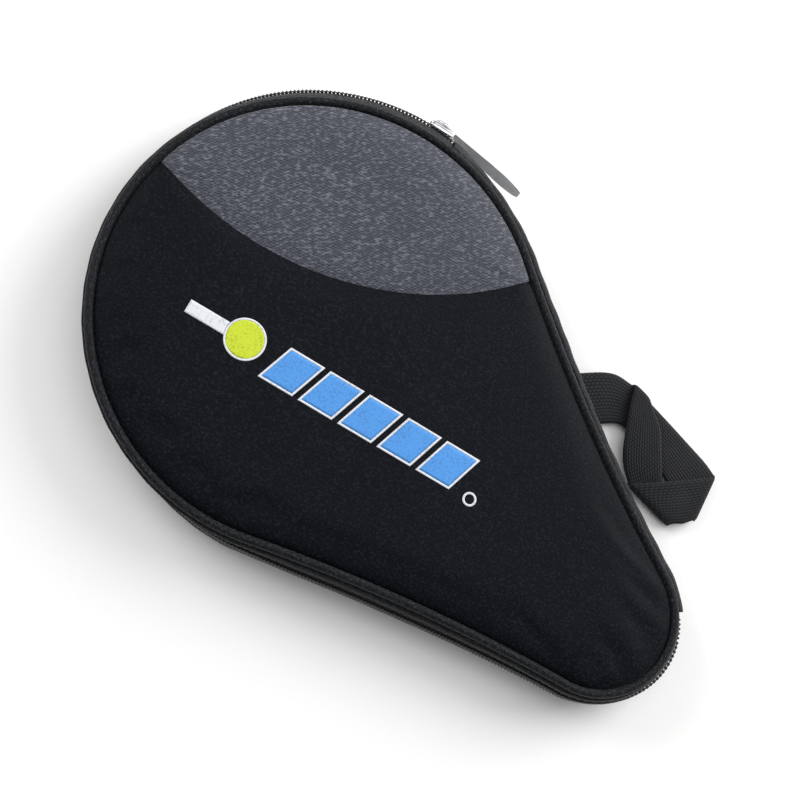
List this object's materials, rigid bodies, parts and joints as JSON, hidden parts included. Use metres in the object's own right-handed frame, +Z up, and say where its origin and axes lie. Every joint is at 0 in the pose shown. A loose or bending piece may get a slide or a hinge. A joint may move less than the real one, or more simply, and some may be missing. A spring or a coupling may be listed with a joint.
{
  "type": "paddle case",
  "caption": "Teardrop padded case for a table-tennis bat: two shells hinged by a cloth gusset, closed by a zip round the edge, with a wrist strap and a pull tab.",
  "frame": {"origin": "centre of the round head, on the flat back face that the case lies on", "axes": "+X from the head to the narrow tail, +Y towards the gusset side that acts as the hinge and carries the strap, +Z up through the front panel"},
  "size_m": [0.2918, 0.1987, 0.0302],
  "materials": {
    "shell_cloth": "black woven polyester, fine plain weave, soft sheen",
    "shell_cloth_grey": "dark slate grey woven polyester",
    "foam": "closed-cell EVA foam sheet",
    "lining": "thin black tricot lining",
    "piping": "black cloth over a plastic cord",
    "binding": "black woven binding tape",
    "gusset_cloth": "black woven polyester band",
    "zip_tape": "black herringbone zip tape",
    "zip_coil": "black nylon coil",
    "zip_metal": "nickel-plated zinc, bright",
    "puller_metal": "satin nickel-plated steel tab",
    "webbing": "black ribbed polypropylene webbing",
    "print_blue": "blue transfer print",
    "print_yellow": "lime yellow transfer print",
    "print_pale": "pale grey transfer print"
  },
  "bodies": {
    "base": {"back_panel": "shell_cloth", "back_foam": "foam", "back_lining": "lining", "back_piping": "piping", "back_zip_tape": "zip_tape", "back_zip_coil": "zip_coil", "back_seam_binding": "binding", "gusset_lower": "gusset_cloth", "gusset_flex": "gusset_cloth", "zip_end_tab": "gusset_cloth", "wrist_strap": "webbing"},
    "lid": {"gusset_upper": "gusset_cloth", "front_main_panel": "shell_cloth", "front_upper_panel": "shell_cloth_grey", "front_foam": "foam", "front_lining": "lining", "front_piping": "piping", "front_zip_tape": "zip_tape", "front_zip_coil": "zip_coil", "front_seam_binding": "binding", "emblem_bars": "print_blue", "emblem_bar_rims": "print_pale", "emblem_disc": "print_yellow", "emblem_disc_rim": "print_pale", "emblem_grip": "print_pale", "emblem_dot": "print_pale"},
    "slider": {"zip_slider": "zip_metal", "slider_bridge": "zip_metal"},
    "puller": {"pull_tab": "puller_metal"}
  },
  "joints": [
    {"name": "lid_open", "type": "hinge", "parent": "base", "child": "lid", "pos_m": [0.0342, 0.08745, 0.015], "axis": [-0.9313, 0.3642, 0], "range_deg": [0, 165], "deforming": ["gusset_flex", "wrist_strap"]},
    {"name": "slider_travel", "type": "hinge", "parent": "base", "child": "slider", "pos_m": [0, 0, 0.015], "axis": [0, 0, 1], "range_deg": [0, 188]},
    {"name": "pull_swing", "type": "hinge", "parent": "slider", "child": "puller", "pos_m": [-0.02257, 0.09475, 0.015], "axis": [0, 0, 1], "range_deg": [0, 170]}
  ],
  "couplings": [
    {"joint": "slider_travel", "follows": "lid_open", "ratio": 1.139}
  ]
}
